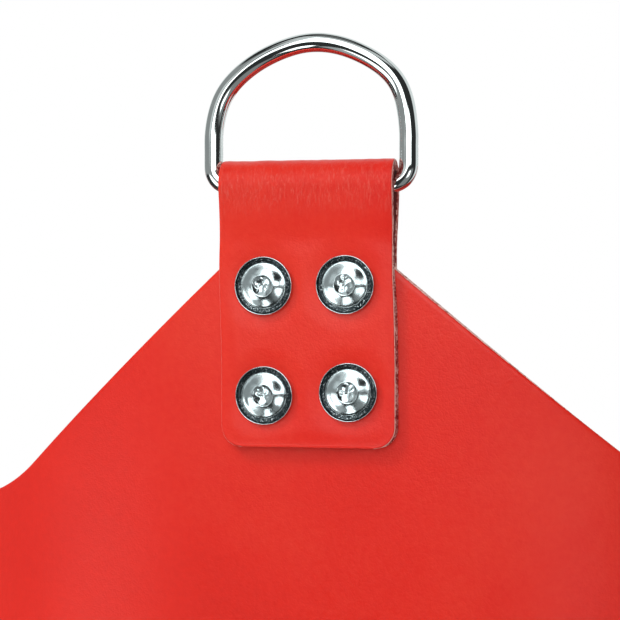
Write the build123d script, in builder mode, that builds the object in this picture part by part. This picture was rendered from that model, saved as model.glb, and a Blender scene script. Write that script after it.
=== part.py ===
from build123d import *

import math
import os

# Heavy punching bag: a round leather bag with a four-peaked crown.
#
# Each peak carries a folded leather strap, clamped on by four rivets, and the strap holds a steel
# D-ring to hang the bag by. Under the crown lies a zipped lid, and under that a foam sleeve round
# a canvas sack of rags.
#
# Millimetres. +Z is up, the origin is the centre of the flat base, and the front hanger faces -Y.

# ---- driving dimensions -------------------------------------------------------------------------
bag_radius = 175.0
leather = 3.0
lid_top = 1000.0  # top face of the lid, which closes the filled part
peak_top = 1110.0  # top edge of the wall at each hanger
valley = peak_top - 78.0  # top edge of the wall between two hangers
hanger_count = 4

strap_width = 50.0
strap_drop = 58.6  # from the wall's peak down to the strap's end
strap_corner = 6.0
bar_height = peak_top + 16.0  # axis of the D-ring's straight bar
loop_radius = 3.9  # inside of the strap's fold

wire = 5.4  # D-ring's wire diameter
ring_inside = 51.2
ring_corner = 5.0  # to the wire's centre, beside the bar
ring_height = 43.0  # from the bar's axis to the top of the bow

# Rivets are punched by hand: how far each is to the right of the strap's middle, and below the peak.
rivet_marks = [(-12.4, 12.9), (11.1, 12.6), (-12.2, 43.9), (12.0, 42.8)]
washer_radius = 8.3
dome_radius = 6.55
shank_radius = 2.4
burr_radius = 5.6
hole_clearance = 0.1

zip_length = 256.0
foam = 10.0
canvas = 1.0
base_pad = 20.0

# ---- places worked out from them ----------------------------------------------------------------
# The wall is round below and is held flat behind each strap. It doesn't stretch, so the crown's
# rounded square has the same length round as the circle below it.
flat_half = 32.0
corner_radius = bag_radius - 4 * flat_half / math.pi
flat_distance = corner_radius + flat_half
crown_bottom = lid_top - 40.0  # the rounded square holds from here up
round_top = crown_bottom - 150.0  # the circle holds up to here
flat_angle = math.degrees(flat_half / bag_radius)
above_all = peak_top + 100.0

wall_middle = flat_distance - leather / 2
strap_foot = peak_top - strap_drop
sandwich = 3 * leather
loop_outside = loop_radius + leather
front_face = wall_middle + sandwich / 2
back_face = wall_middle - sandwich / 2
seam_gap = 0.3

side_names = ("front", "right", "back", "left")
side_angle = {name: 360.0 / hanger_count * i for i, name in enumerate(side_names)}

# Looking at the front hanger from outside: sketch x is across it, sketch y is up.
face_plane = Plane(origin=(0, 0, 0), x_dir=(1, 0, 0), z_dir=(0, -1, 0))
# Looking along the front hanger from its side: sketch x is outwards, sketch y is up.
side_plane = Plane(origin=(0, 0, 0), x_dir=(0, -1, 0), z_dir=(-1, 0, 0))

os.makedirs("parts", exist_ok=True)


def write(piece, name):
    """Writes one finished piece as its own STEP file."""
    piece.part.label = name
    export_step(piece.part, f"parts/{name}.step")


def write_round(piece, name):
    """Writes a front piece again at each of the four sides, as name_front, name_right and so on."""
    for side, angle in side_angle.items():
        with BuildPart() as turned:
            add(piece.part.rotate(Axis.Z, angle))
        write(turned, f"{name}_{side}")


def at_angle(radius, degrees):
    return (radius * math.cos(math.radians(degrees)), radius * math.sin(math.radians(degrees)))


# ---- the bag's outer shape ----------------------------------------------------------------------
def outline(inset, height, is_round):
    """The bag's cross-section, this far inside its outer face: round, or the crown's square."""
    with BuildSketch(Plane.XY.offset(height)) as section:
        with BuildLine():
            for side in range(hanger_count):
                middle = 90.0 * side - 90.0
                if is_round:
                    radius = bag_radius - inset
                    start = at_angle(radius, middle - flat_angle)
                    end = at_angle(radius, middle + flat_angle)
                    following = at_angle(radius, middle + 90.0 - flat_angle)
                    between = at_angle(radius, middle + 45.0)
                    ThreePointArc(start, at_angle(radius, middle), end)
                else:
                    distance = flat_distance - inset
                    span = math.hypot(distance, flat_half)
                    lean = math.degrees(math.atan2(flat_half, distance))
                    start = at_angle(span, middle - lean)
                    end = at_angle(span, middle + lean)
                    following = at_angle(span, middle + 90.0 - lean)
                    reach = math.sqrt(2) * flat_half + corner_radius - inset
                    between = at_angle(reach, middle + 45.0)
                    Line(start, end)
                ThreePointArc(end, between, following)
        make_face()
    return section.sketch


def bag_core(inset, bottom, top):
    """A solid that fills the bag between two heights, this far inside its outer face."""
    levels = sorted({bottom, top, *(z for z in (round_top, crown_bottom) if bottom < z < top)})
    with BuildPart() as core:
        for low, high in zip(levels, levels[1:]):
            if high <= round_top:
                add(outline(inset, low, True))
                extrude(amount=high - low, dir=(0, 0, 1))
            elif low >= crown_bottom:
                add(outline(inset, low, False))
                extrude(amount=high - low, dir=(0, 0, 1))
            else:
                with BuildPart(mode=Mode.PRIVATE) as blended:
                    loft(
                        [outline(inset, round_top, True), outline(inset, crown_bottom, False)],
                        ruled=True,
                    )
                    split(bisect_by=Plane.XY.offset(low), keep=Keep.TOP)
                    split(bisect_by=Plane.XY.offset(high), keep=Keep.BOTTOM)
                add(blended.part)
    return core.part


def bag_shell(inset, thickness, bottom, top):
    """A layer of the bag's wall, open at the top and bottom."""
    with BuildPart() as shell:
        add(bag_core(inset, bottom, top))
        add(bag_core(inset + thickness, bottom, top), mode=Mode.SUBTRACT)
    return shell.part


# ---- rivets -------------------------------------------------------------------------------------
rivet_places = [(across, peak_top - below) for across, below in rivet_marks]

washer_lip = 1.5  # height of the cup washer's rolled lip above the strap
washer_floor = 0.5
dome_height = 2.5
dimple_radius = 2.6
dimple_depth = 1.1
burr_thickness = 0.9
clinch_radius = 3.5
clinch_height = 0.9

# Profiles of one rivet: sketch x is away from its axis, sketch y is outwards from the strap.
with BuildSketch(Plane.XY) as washer_profile:
    with BuildLine():
        Polyline(
            (shank_radius + hole_clearance, washer_floor),
            (shank_radius + hole_clearance, 0),
            (washer_radius - 0.2, 0),
            (washer_radius, 0.3),
            (washer_radius, washer_lip - 0.25),
        )
        TangentArc(
            (washer_radius, washer_lip - 0.25),
            (washer_radius - 0.5, washer_lip - 0.25),
            tangent=(0, 1),
        )
        Polyline(
            (washer_radius - 0.5, washer_lip - 0.25),
            (washer_radius - 0.75, washer_floor + 0.15),
            (washer_radius - 1.0, washer_floor),
            (shank_radius + hole_clearance, washer_floor),
        )
    make_face()

with BuildSketch(Plane.XY) as rivet_profile:
    with BuildLine():
        Polyline(
            (0, dome_height - dimple_depth),
            (0, -sandwich - burr_thickness - clinch_height),
            (clinch_radius - 0.4, -sandwich - burr_thickness - clinch_height),
            (clinch_radius, -sandwich - burr_thickness - clinch_height + 0.4),
            (clinch_radius, -sandwich - burr_thickness),
            (shank_radius, -sandwich - burr_thickness),
            (shank_radius, washer_floor),
            (dome_radius, washer_floor),
            (dome_radius, washer_floor + 0.7),
        )
        ThreePointArc(
            (dome_radius, washer_floor + 0.7),
            (4.9, dome_height - 0.42),
            (dimple_radius, dome_height),
        )
        Spline(
            (dimple_radius, dome_height),
            (dimple_radius - 0.9, dome_height - dimple_depth * 0.62),
            (0, dome_height - dimple_depth),
            tangents=[(-1, -0.3), (-1, 0)],
        )
    make_face()

with BuildSketch(Plane.XY) as burr_profile:
    with BuildLine():
        Polyline(
            (shank_radius + hole_clearance, 0),
            (burr_radius, 0),
            (burr_radius, -burr_thickness + 0.3),
            (burr_radius - 0.3, -burr_thickness),
            (shank_radius + hole_clearance, -burr_thickness),
            (shank_radius + hole_clearance, 0),
        )
    make_face()


def four_turned(profile, outward):
    """The profile turned about each rivet's axis, standing outwards from this distance."""
    with BuildPart() as one:
        add(profile)
        revolve(axis=Axis.Y)
    with BuildPart() as group:
        for across, height in rivet_places:
            seat = Plane(origin=(across, -outward, height), x_dir=(1, 0, 0), z_dir=(0, 0, 1))
            add(seat * Rot(180, 0, 0) * one.part)
    return group


write_round(four_turned(washer_profile.sketch, front_face), "cup_washers")
write_round(four_turned(rivet_profile.sketch, front_face), "rivets")
write_round(four_turned(burr_profile.sketch, back_face), "burr_washers")


def rivet_holes(near, far):
    """The four holes that the rivets pass through, between two distances from the bag's axis."""
    with BuildPart() as holes:
        with BuildSketch(face_plane.offset(near)):
            with Locations(*rivet_places):
                Circle(shank_radius + hole_clearance)
        extrude(amount=far - near)
    return holes.part


# ---- hanger straps ------------------------------------------------------------------------------
def fold_outline(half_gap, radius):
    """Side view of a fold round the ring's bar, tapering to the gap it clamps at the peak."""
    with BuildSketch(side_plane) as fold:
        with Locations((wall_middle, bar_height)):
            Circle(radius)
        with Locations((wall_middle, peak_top)):
            Rectangle(2 * half_gap, 1.0, align=(Align.CENTER, Align.MAX))
        make_hull()
        with Locations((wall_middle, peak_top)):
            Rectangle(2 * half_gap, strap_drop, align=(Align.CENTER, Align.MAX))
    return fold.sketch


with BuildPart() as strap:
    extrude(fold_outline(sandwich / 2, loop_outside), amount=strap_width / 2, both=True)
    extrude(
        fold_outline(leather / 2, loop_radius),
        amount=strap_width / 2,
        both=True,
        mode=Mode.SUBTRACT,
    )
    with BuildSketch(face_plane):  # both ends' rounded corners
        with Locations((0, strap_foot)):
            RectangleRounded(
                strap_width, 2 * strap_drop, strap_corner, align=(Align.CENTER, Align.MIN)
            )
    extrude(amount=bag_radius, mode=Mode.INTERSECT)
    add(rivet_holes(back_face - 1, front_face + 1), mode=Mode.SUBTRACT)

write_round(strap, "hanger_strap")

# ---- D-rings ------------------------------------------------------------------------------------
ring_half = (ring_inside + wire) / 2  # to the centre of each side
bow_centre = ring_height - wire / 2 - ring_half  # above the bar's axis
ring_plane = face_plane.offset(wall_middle)
with BuildPart() as d_ring:
    with BuildLine(ring_plane) as ring_path:
        bow_start = (ring_half, bar_height + bow_centre)
        bow_end = (-ring_half, bar_height + bow_centre)
        bow = ThreePointArc(bow_start, (0, bar_height + bow_centre + ring_half), bow_end)
        left_side = Line(bow_end, (-ring_half, bar_height + ring_corner))
        left_corner = RadiusArc(
            (-ring_half, bar_height + ring_corner), (-ring_half + ring_corner, bar_height), -ring_corner
        )
        bar = Line(
            (-ring_half + ring_corner, bar_height), (ring_half - ring_corner, bar_height)
        )
        right_corner = RadiusArc(
            (ring_half - ring_corner, bar_height), (ring_half, bar_height + ring_corner), -ring_corner
        )
        right_side = Line((ring_half, bar_height + ring_corner), bow_start)
    with BuildSketch(Plane(origin=bar @ 0.5, z_dir=bar % 0.5)):
        Circle(wire / 2)
    sweep(path=ring_path.wire())

write_round(d_ring, "d_ring")

# ---- leather wall panels ------------------------------------------------------------------------
# Crown outline across one panel. The shoulders leave the strap's edges a little under the peak.
# The panels are cut by hand to one template, with the left shoulder a little steeper.
left_slope = 0.945
right_slope = 0.823
left_drop = 6.7  # below the peak, where each shoulder passes the strap's edge
right_drop = 7.6
panel_half = (flat_half + corner_radius / math.sqrt(2)) + 30.0
left_peak = -(strap_width / 2 - left_drop / left_slope)
right_peak = strap_width / 2 - right_drop / right_slope
left_valley = left_peak - (peak_top - valley) / left_slope
right_valley = right_peak + (peak_top - valley) / right_slope
valley_fillet = 45.0
peak_fillet = 4.0

with BuildPart() as wall_shell:
    add(bag_shell(0, leather, 0, peak_top))

with BuildPart() as front_panel:
    add(wall_shell.part)
    with BuildSketch(Plane.XY):  # the quarter between two seams
        with BuildLine():
            Polyline(
                (0, -seam_gap / math.sqrt(2)),
                (2 * bag_radius, -2 * bag_radius - seam_gap / math.sqrt(2)),
                (-2 * bag_radius, -2 * bag_radius - seam_gap / math.sqrt(2)),
                (0, -seam_gap / math.sqrt(2)),
            )
        make_face()
    extrude(amount=above_all, mode=Mode.INTERSECT)
    with BuildSketch(face_plane):  # what is cut away above the crown
        with BuildLine():
            crown_edge = FilletPolyline(
                (-panel_half, valley),
                (left_valley, valley),
                (left_peak, peak_top),
                (right_peak, peak_top),
                (right_valley, valley),
                (panel_half, valley),
                radius=[valley_fillet, peak_fillet, peak_fillet, valley_fillet],
            )
            Polyline(
                (panel_half, valley), (panel_half, above_all), (-panel_half, above_all), (-panel_half, valley)
            )
        make_face()
    extrude(amount=2 * bag_radius, mode=Mode.SUBTRACT)
    add(rivet_holes(back_face - 1, front_face + 1), mode=Mode.SUBTRACT)

write_round(front_panel, "wall_panel")

# ---- seam tapes ---------------------------------------------------------------------------------
tape_width = 25.0
tape_thickness = 1.5
glue_line = 0.05
base_skirt = 30.0  # how far the base's rim turns up inside the wall
lid_band_foot = lid_top - 25.0

with BuildPart() as front_tape:
    add(bag_shell(leather + glue_line, tape_thickness, base_skirt + 0.5, lid_band_foot - 0.5))
    with BuildSketch(Plane.XY.rotated((0, 0, -45))):
        with Locations((bag_radius, 0)):
            Rectangle(bag_radius, tape_width)
    extrude(amount=above_all, mode=Mode.INTERSECT)

write_round(front_tape, "seam_tape")

# ---- base ---------------------------------------------------------------------------------------
with BuildPart() as base_tray:
    add(bag_core(leather, 0, base_skirt))
    add(bag_core(2 * leather, leather, base_skirt), mode=Mode.SUBTRACT)

write(base_tray, "base_tray")

with BuildPart() as pad:
    add(bag_core(2 * leather + 0.2, leather, leather + base_pad))

write(pad, "base_pad")

# ---- lid ----------------------------------------------------------------------------------------
lid_bottom = lid_top - leather
zip_slot = 12.0
lid_seam = 0.4

with BuildPart() as lid_band:
    add(bag_shell(leather, leather, lid_band_foot, lid_top + leather))

write(lid_band, "lid_band")

with BuildPart() as lid_plate:
    add(bag_core(2 * leather, lid_bottom, lid_top))
    with BuildSketch(Plane.XY.offset(lid_bottom)):
        SlotOverall(zip_length + 2 * zip_slot, zip_slot)
        Rectangle(3 * bag_radius, lid_seam)
    extrude(amount=leather, mode=Mode.SUBTRACT)

for name, index in (("lid_front", 0), ("lid_back", -1)):
    with BuildPart() as lid_half:
        add(lid_plate.solids().sort_by(Axis.Y)[index])
    write(lid_half, name)

# ---- zip ----------------------------------------------------------------------------------------
zip_tape_thickness = 1.0
zip_tape_width = 15.0
zip_tape_top = lid_bottom
teeth_half_width = 3.5
teeth_gap = 0.6  # half of the gap that the slider's post runs in
teeth_bottom = lid_top - 4.8
teeth_height = 3.0
stop_length = 3.0

for name, sense in (("front", -1), ("back", 1)):
    with BuildPart() as zip_tape:
        with BuildSketch(Plane.XY.offset(zip_tape_top - zip_tape_thickness)):
            with Locations((0, sense * (teeth_half_width + zip_tape_width / 2))):
                Rectangle(zip_length + 2 * zip_slot, zip_tape_width)
        extrude(amount=zip_tape_thickness)
    write(zip_tape, f"zip_tape_{name}")

    with BuildPart() as zip_teeth:
        with BuildSketch(Plane.XY.offset(teeth_bottom)):
            with Locations((0, sense * (teeth_half_width + teeth_gap) / 2)):
                Rectangle(zip_length, teeth_half_width - teeth_gap)
        extrude(amount=teeth_height)
    write(zip_teeth, f"zip_teeth_{name}")

with BuildPart() as zip_stops:
    with BuildSketch(Plane.XY.offset(teeth_bottom)):
        with GridLocations(zip_length + stop_length, 1, 2, 1):
            RectangleRounded(stop_length, 2 * teeth_half_width, 0.8)
    extrude(amount=teeth_height)

write(zip_stops, "zip_stops")

# The slider stands at the closed end, at -X. Its post runs between the two rows of teeth.
slider_length = 14.0
slider_half_width = 5.2
slider_travel = zip_length - slider_length - 2.0
slider_x = -(zip_length - slider_length) / 2 + 1.0
plate_bottom = teeth_bottom + teeth_height + 0.2
plate_thickness = 1.5
plate_top = plate_bottom + plate_thickness
under_plate_top = teeth_bottom - 0.3
post_half = 0.35
bail_half = 4.6
bail_height = 4.2
bail_width = 3.0
bail_wire = 1.2
pin_radius = 0.9
pin_height = plate_top + pin_radius + 0.5

with BuildPart() as zip_slider:
    with BuildSketch(Plane.XY.offset(plate_bottom)):
        with Locations((slider_x, 0)):
            RectangleRounded(slider_length, 2 * slider_half_width, 2.0)
    extrude(amount=plate_thickness)
    with BuildSketch(Plane.XY.offset(under_plate_top - plate_thickness)):
        with Locations((slider_x, 0)):
            RectangleRounded(slider_length, 2 * slider_half_width, 2.0)
    extrude(amount=plate_thickness)
    with BuildSketch(Plane.XY.offset(under_plate_top - plate_thickness)):
        with Locations((slider_x + slider_length / 2 - 2.5, 0)):
            Rectangle(3.0, 2 * post_half)
    extrude(amount=plate_top - under_plate_top + plate_thickness)
    with BuildSketch(Plane.XZ):  # the bail that the pull hangs in
        with Locations((slider_x, plate_top - 0.2)):
            Rectangle(2 * bail_half, bail_height + 0.2, align=(Align.CENTER, Align.MIN))
            Rectangle(
                2 * (bail_half - bail_wire),
                bail_height + 0.2 - bail_wire,
                align=(Align.CENTER, Align.MIN),
                mode=Mode.SUBTRACT,
            )
    extrude(amount=bail_width / 2, both=True)

write(zip_slider, "zip_slider")

# The pull lies flat along the closed teeth, with its cross pin under the bail.
pull_length = 34.0
pull_width = 9.0
pull_thickness = 1.4
arm_inside = bail_width / 2 + 0.6
arm_outside = pull_width / 2
arm_length = 7.5

with BuildPart() as zip_pull:
    with BuildSketch(Plane.XZ.offset(-arm_outside)):
        with Locations((slider_x, pin_height)):
            Circle(pin_radius)
    extrude(amount=2 * arm_outside)
    with BuildSketch(Plane.XY.offset(pin_height - pull_thickness / 2)):
        with Locations((slider_x, 0)):
            Rectangle(pull_length - pull_width / 2, pull_width, align=(Align.MIN, Align.CENTER))
        with Locations((slider_x + pull_length - pull_width / 2, 0)):
            Circle(pull_width / 2)
            Circle(1.8, mode=Mode.SUBTRACT)
        with Locations((slider_x - 1, 0)):
            Rectangle(
                arm_length + 1, 2 * arm_inside, align=(Align.MIN, Align.CENTER), mode=Mode.SUBTRACT
            )
    extrude(amount=pull_thickness)

write(zip_pull, "zip_pull")

# ---- filling ------------------------------------------------------------------------------------
sleeve_inset = leather + tape_thickness + 0.2
sack_inset = sleeve_inset + foam + 0.2
sack_bottom = leather + base_pad + 0.2
sack_top = lid_top - 12.0

with BuildPart() as foam_sleeve:
    add(bag_shell(sleeve_inset, foam, base_skirt + 0.5, lid_band_foot - 3.0))

write(foam_sleeve, "foam_sleeve")

with BuildPart() as canvas_sack:
    add(bag_core(sack_inset, sack_bottom, sack_top))
    add(bag_core(sack_inset + canvas, sack_bottom + canvas, sack_top - canvas), mode=Mode.SUBTRACT)

write(canvas_sack, "canvas_sack")

with BuildPart() as rag_filling:
    add(bag_core(sack_inset + canvas, sack_bottom + canvas, sack_top - canvas))

write(rag_filling, "rag_filling")
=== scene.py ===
"""Heavy punching bag: the looks of the leather, the hangers, the lid and the filling.

All shapes are worked out in millimetres in the CAD model's frame, and become metres in new_piece().
"""

import math

import bmesh
import bpy
import numpy as np
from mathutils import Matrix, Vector, noise


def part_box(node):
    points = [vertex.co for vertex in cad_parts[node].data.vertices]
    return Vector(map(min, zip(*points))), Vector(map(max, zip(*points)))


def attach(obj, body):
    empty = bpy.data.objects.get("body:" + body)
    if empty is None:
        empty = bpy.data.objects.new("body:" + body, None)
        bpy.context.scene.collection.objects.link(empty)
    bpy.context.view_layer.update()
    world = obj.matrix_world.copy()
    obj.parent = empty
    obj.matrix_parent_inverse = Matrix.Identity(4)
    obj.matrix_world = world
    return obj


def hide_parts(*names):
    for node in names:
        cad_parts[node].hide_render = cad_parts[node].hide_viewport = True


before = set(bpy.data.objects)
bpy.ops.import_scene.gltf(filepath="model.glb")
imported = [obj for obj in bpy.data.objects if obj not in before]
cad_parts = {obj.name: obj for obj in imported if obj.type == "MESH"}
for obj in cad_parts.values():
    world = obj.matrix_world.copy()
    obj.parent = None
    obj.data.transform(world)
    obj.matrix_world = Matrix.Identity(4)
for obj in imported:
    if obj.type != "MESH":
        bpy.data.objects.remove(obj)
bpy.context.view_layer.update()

MM = 0.001
SIDES = ("front", "right", "back", "left")


def cad_mm(node):
    """Lowest and highest corner of a CAD node, in millimetres."""
    low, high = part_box(node)
    return np.array(low) / MM, np.array(high) / MM


# ---- sizes, read from the CAD model ----
wall_low, wall_high = cad_mm("wall_panel_front")
strap_low, strap_high = cad_mm("hanger_strap_front")
ring_low, ring_high = cad_mm("d_ring_front")

BAG_RADIUS = -wall_low[1]
PEAK = wall_high[2]
LEATHER = 3.0
WALL_MIDDLE = -(strap_low[1] + strap_high[1]) / 2
FLAT_DISTANCE = WALL_MIDDLE + LEATHER / 2
FLAT_HALF = 32.0
CORNER_RADIUS = BAG_RADIUS - 4 * FLAT_HALF / math.pi
QUARTER = BAG_RADIUS * math.pi / 2
SEAM_GAP = 0.3
LID_TOP = cad_mm("lid_front")[1][2]
CROWN_BOTTOM = LID_TOP - 40.0
ROUND_TOP = CROWN_BOTTOM - 150.0
VALLEY = PEAK - 78.0
FRONT_FACE = WALL_MIDDLE + 1.5 * LEATHER
STRAP_HALF = strap_high[0]
STRAP_FOOT, FOLD_TOP = strap_low[2], strap_high[2]
WIRE = (ring_high[1] - ring_low[1]) / 2
RING_HALF = ring_high[0] - WIRE
BAR_HEIGHT = ring_low[2] + WIRE
RIVET_MARKS = [(-12.4, 12.9), (11.1, 12.6), (-12.2, 43.9), (12.0, 42.8)]
RIVETS = [(t, PEAK - below) for t, below in RIVET_MARKS]
WASHER_RADIUS = 8.3


# ---- mesh helpers ----
def placed(name, data):
    """A new object in the scene."""
    made = bpy.data.objects.new(name, data)
    bpy.context.scene.collection.objects.link(made)
    return made


def new_piece(name, verts, faces, materials, face_slots=None, smooth=True):
    """A mesh piece from vertices in millimetres."""
    mesh = bpy.data.meshes.new(name)
    mesh.from_pydata((np.asarray(verts, float) * MM).tolist(), [], [list(f) for f in faces])
    for material in materials:
        mesh.materials.append(material)
    if face_slots is not None:
        mesh.polygons.foreach_set("material_index", np.asarray(face_slots, np.int32))
    mesh.polygons.foreach_set("use_smooth", [smooth] * len(mesh.polygons))
    turned = bmesh.new()
    turned.from_mesh(mesh)
    bmesh.ops.recalc_face_normals(turned, faces=turned.faces)
    turned.to_mesh(mesh)
    turned.free()
    mesh.update()
    return placed(name, mesh)


def stand_in(piece, body, slot, *cad_nodes):
    """The piece shows in place of these CAD nodes, on their body."""
    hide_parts(*cad_nodes)
    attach(piece, body)
    return piece


def turn(side, t, n, z):
    """Points across, out from and up a side, as x, y, z."""
    middle = math.radians(90.0 * side - 90.0)
    t, n, z = np.broadcast_arrays(t, n, z)
    sine, cosine = math.sin(middle), math.cos(middle)
    return np.stack([n * cosine - t * sine, n * sine + t * cosine, z], -1)


def smoothstep(x, low, high):
    x = np.clip((np.asarray(x, float) - low) / (high - low), 0, 1)
    return x * x * (3 - 2 * x)


def bell(x, middle, width):
    return np.exp(-(((x - middle) / width) ** 2))


def soft_noise(points, size, seed=0.0):
    """Smooth noise between -1 and 1 at each point, with features of about this size."""
    flat = np.asarray(points, float).reshape(-1, 3)
    shift = Vector((seed * 17.3, seed * 5.1, seed * 9.7))
    values = [noise.noise(Vector(p) / size + shift) for p in flat.tolist()]
    return np.array(values).reshape(np.shape(points)[:-1])


def grid_boundary(rows, cols):
    """Index of the points round a grid, anticlockwise as seen from outside: their rows and columns."""
    ring = [(0, c) for c in range(cols)]
    ring += [(r, cols - 1) for r in range(1, rows)]
    ring += [(rows - 1, c) for c in range(cols - 2, -1, -1)]
    ring += [(r, 0) for r in range(rows - 2, 0, -1)]
    return tuple(np.array(ring).T)


def thick_sheet(outer, rims, inner):
    """Closed sheet from its two faces and the loops round its edge.

    Returns vertices, faces, and for each face 0 on the outer side, -1 on the inner side or 1, 2, 3...
    for the steps round the edge, with the side of the grid (0 first row, 1 last column, 2 last row,
    3 first column) that an edge face is on.
    """
    rows, cols = outer.shape[:2]
    ring = grid_boundary(rows, cols)
    count = len(ring[0])
    verts = [outer.reshape(-1, 3)] + list(rims) + [inner.reshape(-1, 3)]
    inner_start = rows * cols + count * len(rims)
    index = np.arange(rows * cols).reshape(rows, cols)
    a, b, c, d = index[:-1, :-1], index[:-1, 1:], index[1:, 1:], index[1:, :-1]
    outside = np.stack([a, b, c, d], -1).reshape(-1, 4)
    inside = np.stack([a, d, c, b], -1).reshape(-1, 4) + inner_start
    loops = [index[ring]]
    loops += [rows * cols + count * k + np.arange(count) for k in range(len(rims))]
    loops += [index[ring] + inner_start]
    faces, kind, side = [outside], [np.zeros(len(outside), int)], [np.full(len(outside), -1)]
    ring_side = np.repeat([0, 1, 2, 3], [cols - 1, rows - 1, cols - 1, rows - 1])
    for step, (high, low) in enumerate(zip(loops, loops[1:]), 1):
        faces.append(np.stack([np.roll(high, -1), high, low, np.roll(low, -1)], -1))
        kind.append(np.full(count, step))
        side.append(ring_side)
    faces.append(inside)
    kind.append(np.full(len(inside), -1))
    side.append(np.full(len(inside), -1))
    return np.concatenate(verts), np.concatenate(faces), np.concatenate(kind), np.concatenate(side)


def swept(loops, closed_path=True, closed_section=True, caps=False):
    """Vertices and faces of a surface through loops of equal length."""
    loops = np.asarray(loops, float)
    count, size = loops.shape[:2]
    index = np.arange(count * size).reshape(count, size)
    faces = []
    for i in range(count if closed_path else count - 1):
        here, following = index[i], index[(i + 1) % count]
        for j in range(size if closed_section else size - 1):
            k = (j + 1) % size
            faces.append((here[j], here[k], following[k], following[j]))
    if caps:
        faces.append(tuple(index[0][::-1]))
        faces.append(tuple(index[-1]))
    return loops.reshape(-1, 3), faces


def joined(parts):
    """Several (vertices, faces) pairs as one."""
    verts, faces, start = [], [], 0
    for v, f in parts:
        verts.append(np.asarray(v, float))
        faces += [tuple(i + start for i in face) for face in f]
        start += len(v)
    return np.concatenate(verts), faces


# ---- materials ----
def fed(node, inputs):
    """Gives a node's inputs their constants, and links those that come from another node."""
    for key, value in inputs.items():
        if isinstance(value, bpy.types.NodeSocket):
            node.id_data.links.new(value, node.inputs[key])
        else:
            node.inputs[key].default_value = value
    return node


def new_node(beside, kind, inputs):
    """A node in the same tree as another node or socket."""
    return fed(beside.id_data.nodes.new(kind), inputs)


def material(name, color, roughness, metallic=0.0, specular=0.5):
    """A new material, with its shader and its object coordinates."""
    made = bpy.data.materials.new(name)
    made.use_nodes = True
    shader = made.node_tree.nodes["Principled BSDF"]
    fed(shader, {"Base Color": (*color, 1.0), "Roughness": roughness})
    fed(shader, {"Metallic": metallic, "Specular IOR Level": specular})
    return made, shader, new_node(shader, "ShaderNodeTexCoord", {}).outputs["Object"]


def noise_node(coords, scale, detail=4.0, roughness=0.55, distortion=0.0, stretch=None):
    """Noise with this many features to the metre, drawn out along any axis that stretch gives."""
    if stretch:
        mapping = new_node(coords, "ShaderNodeMapping", {"Vector": coords, "Scale": stretch})
        coords = mapping.outputs["Vector"]
    settings = {"Scale": scale, "Detail": detail, "Roughness": roughness, "Distortion": distortion}
    return new_node(coords, "ShaderNodeTexNoise", {"Vector": coords, **settings}).outputs["Fac"]


def voronoi_node(coords, scale, feature="F1"):
    node = new_node(coords, "ShaderNodeTexVoronoi", {"Vector": coords, "Scale": scale})
    node.feature = feature
    return node.outputs["Distance"]


def math_node(operation, a, b=0.0):
    node = new_node(a, "ShaderNodeMath", {0: a, 1: b})
    node.operation = operation
    return node.outputs[0]


def blended(a, share, b):
    """The share of a and the rest of b."""
    rest = round(1 - share, 6)
    return math_node("ADD", math_node("MULTIPLY", a, share), math_node("MULTIPLY", b, rest))


def tinted(shader, value, stops):
    """Gives the shader colours at places along a value, smoothly joined."""
    node = new_node(shader, "ShaderNodeValToRGB", {"Fac": value})
    elements = node.color_ramp.elements
    while len(elements) < len(stops):
        elements.new(0.5)
    for element, (place, color) in zip(elements, stops):
        element.position = place
        element.color = (*color, 1.0)
    fed(shader, {"Base Color": node.outputs["Color"]})
    return node.outputs["Color"]


def times(color, *factors):
    """A colour, with each channel times its factor, or all of them times one."""
    return tuple(min(c * f, 1.0) for c, f in zip(color, factors * (4 - len(factors))))


def value_range(value, low, high, to_low=0.0, to_high=1.0, smooth=False):
    """The value, carried from one range to another and held at its ends."""
    ends = {"From Min": low, "From Max": high, "To Min": to_low, "To Max": to_high}
    node = new_node(value, "ShaderNodeMapRange", {"Value": value, **ends})
    node.interpolation_type = "SMOOTHSTEP" if smooth else "LINEAR"
    return node.outputs["Result"]


def bumped(shader, heights):
    """Chains bumps of (height, strength, distance in metres) onto the shader."""
    chain = {}
    for height, strength, distance in heights:
        chain = {"Height": height, "Strength": strength, "Distance": distance, **chain}
        chain = {"Normal": new_node(shader, "ShaderNodeBump", chain).outputs["Normal"]}
    fed(shader, chain)


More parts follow.
